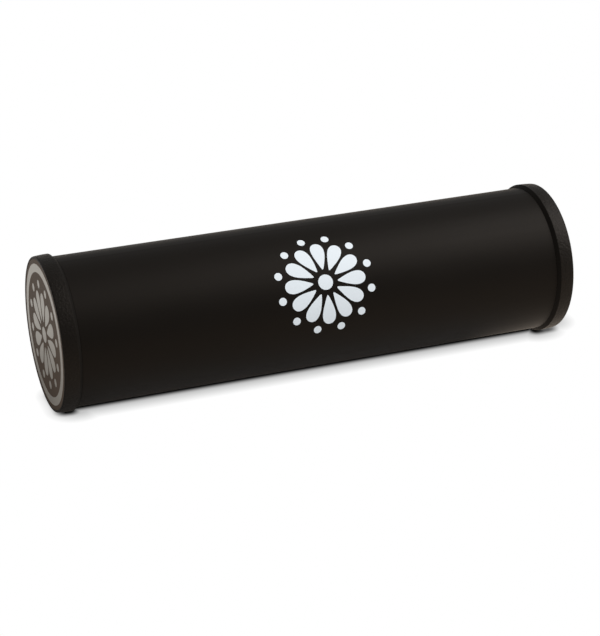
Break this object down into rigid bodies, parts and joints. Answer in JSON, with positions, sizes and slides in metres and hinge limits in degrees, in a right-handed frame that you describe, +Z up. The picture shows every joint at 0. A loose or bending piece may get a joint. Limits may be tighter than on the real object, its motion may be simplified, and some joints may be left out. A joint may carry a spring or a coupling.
{
  "type": "ganza shaker",
  "caption": "Tubular hand shaker: a black plastic tube closed by flanged end caps with round labels, holding loose steel shot that tumbles and runs along the bore.",
  "frame": {"origin": "on the ground below the middle of the tube, as the shaker lies on its two cap rims", "axes": "+X along the tube, from the left cap to the right cap; +Z up"},
  "size_m": [0.1836, 0.053, 0.053],
  "materials": {
    "tube_plastic": "satin black extruded plastic with a fine even grain",
    "cap_plastic": "matte black moulded plastic with a fine spark texture",
    "printed_label": "printed vinyl film, matte",
    "steel_shot": "plain bright steel, lightly tumbled"
  },
  "bodies": {
    "shell": {"body_tube": "tube_plastic", "left_end_cap": "cap_plastic", "right_end_cap": "cap_plastic", "left_cap_label": "printed_label", "right_cap_label": "printed_label"},
    "shot_row_01": {"shot_row_01": "steel_shot"},
    "shot_row_02": {"shot_row_02": "steel_shot"},
    "shot_row_03": {"shot_row_03": "steel_shot"},
    "shot_row_04": {"shot_row_04": "steel_shot"},
    "shot_row_05": {"shot_row_05": "steel_shot"},
    "shot_row_06": {"shot_row_06": "steel_shot"},
    "shot_row_07": {"shot_row_07": "steel_shot"},
    "shot_row_08": {"shot_row_08": "steel_shot"},
    "shot_row_09": {"shot_row_09": "steel_shot"},
    "shot_row_10": {"shot_row_10": "steel_shot"},
    "shot_row_11": {"shot_row_11": "steel_shot"},
    "shot_row_12": {"shot_row_12": "steel_shot"},
    "shot_row_13": {"shot_row_13": "steel_shot"},
    "shot_row_14": {"shot_row_14": "steel_shot"}
  },
  "joints": [
    {"name": "shot_tumble", "type": "hinge", "parent": "shell", "child": "shot_row_01", "pos_m": [0, 0, 0.0265], "axis": [1, 0, 0], "continuous": true},
    {"name": "shot_run_02", "type": "slide", "parent": "shot_row_01", "child": "shot_row_02", "axis": [1, 0, 0], "range_m": [-0.04096, 0.04519]},
    {"name": "shot_run_03", "type": "slide", "parent": "shot_row_01", "child": "shot_row_03", "axis": [1, 0, 0], "range_m": [-0.04591, 0.04024]},
    {"name": "shot_run_04", "type": "slide", "parent": "shot_row_01", "child": "shot_row_04", "axis": [1, 0, 0], "range_m": [-0.04285, 0.0433]},
    {"name": "shot_run_05", "type": "slide", "parent": "shot_row_01", "child": "shot_row_05", "axis": [1, 0, 0], "range_m": [-0.0398, 0.04635]},
    {"name": "shot_run_06", "type": "slide", "parent": "shot_row_01", "child": "shot_row_06", "axis": [1, 0, 0], "range_m": [-0.04474, 0.04141]},
    {"name": "shot_run_07", "type": "slide", "parent": "shot_row_01", "child": "shot_row_07", "axis": [1, 0, 0], "range_m": [-0.04168, 0.04446]},
    {"name": "shot_run_08", "type": "slide", "parent": "shot_row_01", "child": "shot_row_08", "axis": [1, 0, 0], "range_m": [-0.05613, 0.04902]},
    {"name": "shot_run_09", "type": "slide", "parent": "shot_row_01", "child": "shot_row_09", "axis": [1, 0, 0], "range_m": [-0.05307, 0.05208]},
    {"name": "shot_run_10", "type": "slide", "parent": "shot_row_01", "child": "shot_row_10", "axis": [1, 0, 0], "range_m": [-0.05002, 0.05513]},
    {"name": "shot_run_11", "type": "slide", "parent": "shot_row_01", "child": "shot_row_11", "axis": [1, 0, 0], "range_m": [-0.05496, 0.05019]},
    {"name": "shot_run_12", "type": "slide", "parent": "shot_row_01", "child": "shot_row_12", "axis": [1, 0, 0], "range_m": [-0.05191, 0.05324]},
    {"name": "shot_run_13", "type": "slide", "parent": "shot_row_01", "child": "shot_row_13", "axis": [1, 0, 0], "range_m": [-0.04885, 0.0563]},
    {"name": "shot_run_14", "type": "slide", "parent": "shot_row_01", "child": "shot_row_14", "axis": [1, 0, 0], "range_m": [-0.0633, 0.06085]}
  ]
}
